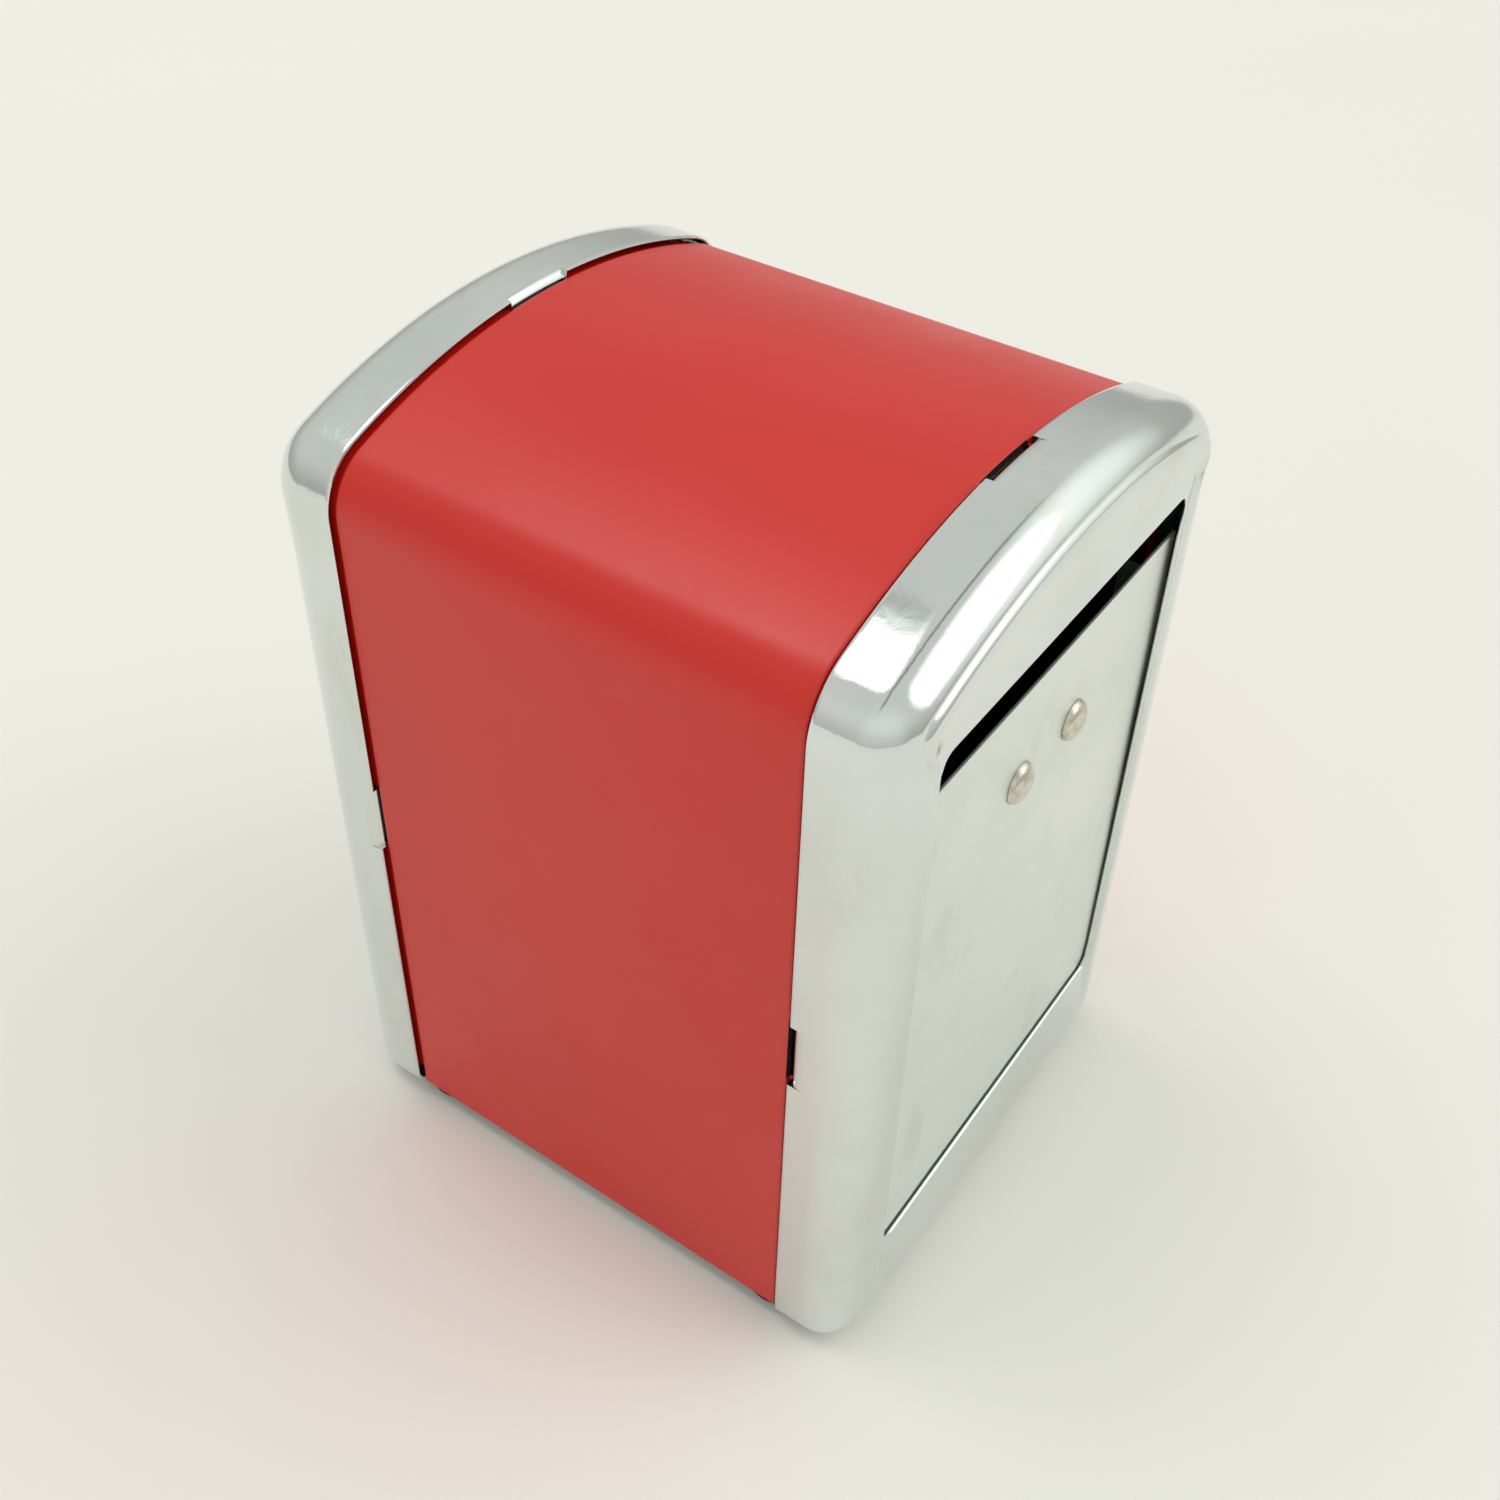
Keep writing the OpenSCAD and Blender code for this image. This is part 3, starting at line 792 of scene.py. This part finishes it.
def build_foot(node):
    """A push-in rubber foot with soft edges, turned about its own axis."""
    low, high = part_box(node)
    x, y = (low[0] + high[0]) / 2, (low[1] + high[1]) / 2
    r, top = (high[0] - low[0]) / 2, high[2]
    pad, neck, stem = CAP_BOTTOM_Z - 0.3 * MM, top - 2.0 * MM, top - 1.2 * MM
    profile = [(0.05 * MM, 0.12 * MM), (r - 1.9 * MM, 0.10 * MM), (r - 1.5 * MM, 0.0), (r - 1.0 * MM, 0.03 * MM),
               (r - 0.5 * MM, 0.3 * MM), (r - 0.1 * MM, 0.8 * MM), (r, 1.3 * MM), (r, pad - 0.3 * MM),
               (r - 0.12 * MM, pad - 0.08 * MM), (r - 0.4 * MM, pad), (3.3 * MM, pad), (3.15 * MM, pad + 0.2 * MM),
               (3.15 * MM, neck), (2.95 * MM, neck), (2.95 * MM, stem), (3.85 * MM, stem),
               (3.95 * MM, stem + 0.15 * MM), (3.1 * MM, top - 0.2 * MM), (2.6 * MM, top), (0.05 * MM, top)]
    return lathe(node + "_rubber", profile, Matrix.Translation((x, y, 0)))


def build_base():
    """The floor pan: a sheet turned up along both sides, with small radii at the bends."""
    bend = 1.0 * MM
    low, high = BASE_LOW[2], BASE_HIGH[2]
    half = HALF_W - SHEET_T - 0.02 * MM
    right = [(half, high)] + [(half, z) for z in np.linspace(high - 0.4 * MM, low + bend + 0.3 * MM, 5)]
    right += [(half - bend + bend * math.cos(a), low + bend - bend * math.sin(a))
              for a in np.linspace(0, math.pi / 2, 7)]
    right += [(x, low) for x in np.linspace(half - bend - 0.5 * MM, 0, 12)]
    across = right + [(-x, z) for x, z in reversed(right[:-1])]
    wide_y = abs(CAP_EDGE_Y) - 2.0 * MM
    ys = list(np.linspace(-BASE_HIGH[1], -wide_y - 0.05 * MM, 4)) + list(np.linspace(-wide_y, wide_y, 24))
    ys += list(np.linspace(wide_y + 0.05 * MM, BASE_HIGH[1], 4))
    narrow = HALF_W - JOGGLE - SHEET_T - 0.3 * MM
    points = []
    for y in ys:
        for x, z in across:
            tucked = abs(y) > wide_y
            points.append((max(-narrow, min(narrow, x)) if tucked else x, y, z))
    columns = len(across)

    def skip(row, column):
        outside = abs(ys[row]) > wide_y or abs(ys[row + 1]) > wide_y
        return outside and (across[column][1] > low + 1e-7 or across[column + 1][1] > low + 1e-7)

    piece = mesh_from("floor_pan", points, grid_faces(len(ys), columns, skip=skip))
    sheet = piece.modifiers.new("thickness", "SOLIDIFY")
    sheet.thickness = SHEET_T
    sheet.offset = 1
    ease_edges(piece, 0.1 * MM, 1)
    return applied(piece)


red = red_powder_coat()
chrome = chrome_plate()
zinc = galvanised_sheet()
nickel = nickel_rivet()
spring_steel = blued_spring_steel()
rubber = black_rubber()

front_cap = build_cap()
back_cap = half_turn(front_cap, "back_cap_pressing")
finish_piece(front_cap, "front_cap_body", chrome, ["front_cap"])
finish_piece(back_cap, "back_cap_body", chrome, ["back_cap"])

shell = build_shell()
finish_piece(shell, "housing", red, ["body_shell"])

front_follower = build_follower()
back_follower = half_turn(front_follower, "back_follower_plate")
finish_piece(front_follower, "front_follower_body", zinc, ["front_follower"])
finish_piece(back_follower, "back_follower_body", zinc, ["back_follower"])

front_rivets = build_rivets("front_plate_rivets")
back_rivets = half_turn(front_rivets, "back_plate_rivets")
finish_piece(front_rivets, "front_follower_body", nickel, ["front_follower_rivets"])
finish_piece(back_rivets, "back_follower_body", nickel, ["back_follower_rivets"])

front_spring, bend_from, bend_to = build_spring()
back_spring = half_turn(front_spring, "back_leaf_spring")
for spring, node, body, turn in ((front_spring, "front_spring", "front_follower_body", 1),
                                 (back_spring, "back_spring", "back_follower_body", -1)):
    spring.data.materials.clear()
    spring.data.materials.append(spring_steel)
    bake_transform(spring)
    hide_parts(node)

finish_piece(build_spring_rivets(), "housing", nickel, ["spring_rivets"])
finish_piece(build_base(), "housing", zinc, ["base_plate"])
for node in ("front_left_foot", "front_right_foot", "back_left_foot", "back_right_foot"):
    finish_piece(build_foot(node), "housing", rubber, [node])


# ---------------------------------------------------------------- floor, light and camera

def build_floor():
    """A wide flat table top under the feet."""
    size = 3.0
    corners = [(-size, -size, 0), (size, -size, 0), (size, size, 0), (-size, size, 0)]
    floor = mesh_from("floor", corners, [(0, 1, 2, 3)])
    floor.data.materials.append(pale_floor())


def build_softbox():
    """A large soft lamp high up behind the body."""
    light = bpy.data.lights.new("softbox", "AREA")
    light.shape = "RECTANGLE"
    light.size, light.size_y = 0.6, 0.6
    light.energy = 2.0
    place, target = Vector((-0.08, 0.62, 1.55)), Vector((0, 0, 0.08))
    lamp = bpy.data.objects.new("softbox", light)
    lamp.location = place
    lamp.rotation_euler = (target - place).to_track_quat("-Z", "Y").to_euler()
    bpy.context.scene.collection.objects.link(lamp)


PANELS = (                              # direction, inner and outer half angle in degrees, strength
    ((-0.05, 0.37, 0.93), 9, 20, 1.3), ((0.32, -0.62, 0.72), 12, 30, 1.1),
    ((0.66, -0.52, 0.5), 8, 38, 0.5), ((-0.95, -0.3, 0.1), 20, 60, 0.15),
    ((0.21, 0.43, 0.88), 2, 8, -0.3),
)


def build_world():
    """A pale room: duller towards the floor line, with soft bright panels, a dark beam and a lamp's
    dark housing overhead."""
    world = bpy.data.worlds.new("studio")
    world.use_nodes = True
    tree = world.node_tree
    background = tree.nodes["Background"]
    background.inputs["Color"].default_value = (1.0, 1.0, 0.965, 1)
    direction = tree.nodes.new("ShaderNodeTexCoord").outputs["Generated"]

    def spread(value, low, high, to_low, to_high):
        made = tree.nodes.new("ShaderNodeMapRange")
        made.interpolation_type = "SMOOTHSTEP"
        for key, number in (("From Min", low), ("From Max", high), ("To Min", to_low), ("To Max", to_high)):
            made.inputs[key].default_value = number
        tree.links.new(value, made.inputs["Value"])
        return made.outputs["Result"]

    def math_node(operation, a, b):
        made = tree.nodes.new("ShaderNodeMath")
        made.operation = operation
        tree.links.new(a, made.inputs[0])
        tree.links.new(b, made.inputs[1])
        return made.outputs[0]

    split = tree.nodes.new("ShaderNodeSeparateXYZ")
    tree.links.new(direction, split.inputs[0])
    total = spread(split.outputs["Z"], -0.1, 0.55, 0.44, 0.68)
    for centre, inner, outer, power in PANELS:
        dot = tree.nodes.new("ShaderNodeVectorMath")
        dot.operation = "DOT_PRODUCT"
        dot.inputs[1].default_value = Vector(centre).normalized()
        tree.links.new(direction, dot.inputs[0])
        rim, core = math.cos(math.radians(outer)), math.cos(math.radians(inner))
        panel = spread(dot.outputs["Value"], rim, core, 0.0, power)
        total = math_node("ADD", total, panel)
    beam = math_node("ADD", spread(split.outputs["Y"], -0.05, -0.015, 0.0, -0.36),
                     spread(split.outputs["Y"], 0.015, 0.06, 0.0, 0.36))
    overhead = spread(split.outputs["Z"], 0.6, 0.85, 0.0, 1.0)
    total = math_node("ADD", total, math_node("MULTIPLY", beam, overhead))
    tree.links.new(total, background.inputs["Strength"])
    bpy.context.scene.world = world


def build_camera():
    """The main view: azimuth and elevation in degrees, then roll, distance and lens."""
    azimuth, elevation, roll = math.radians(-56.23), math.radians(40.0), math.radians(1.61)
    distance, slide, rise = 270.6 * MM, -0.525 * MM, -5.36 * MM
    target = Vector((0, 0, CAP_BOTTOM_Z + 73.05 * MM))
    back = Vector((math.sin(azimuth) * math.cos(elevation), -math.cos(azimuth) * math.cos(elevation),
                   math.sin(elevation)))
    level = Vector((math.cos(azimuth), math.sin(azimuth), 0))
    over = level.cross(back) * -1
    right = math.cos(roll) * level + math.sin(roll) * over
    up = -math.sin(roll) * level + math.cos(roll) * over
    camera = bpy.data.cameras.new("camera")
    camera.lens = 41.22
    camera.sensor_width = 36
    camera.shift_x = -0.001
    camera.shift_y = -0.041
    viewer = bpy.data.objects.new("camera", camera)
    place = Matrix((right, up, back)).transposed().to_4x4()
    place.translation = target + distance * back - slide * right - rise * up
    viewer.matrix_world = place
    bpy.context.scene.collection.objects.link(viewer)
    bpy.context.scene.camera = viewer


build_floor()
build_world()
build_softbox()
build_camera()
bpy.context.scene.view_settings.view_transform = "Standard"
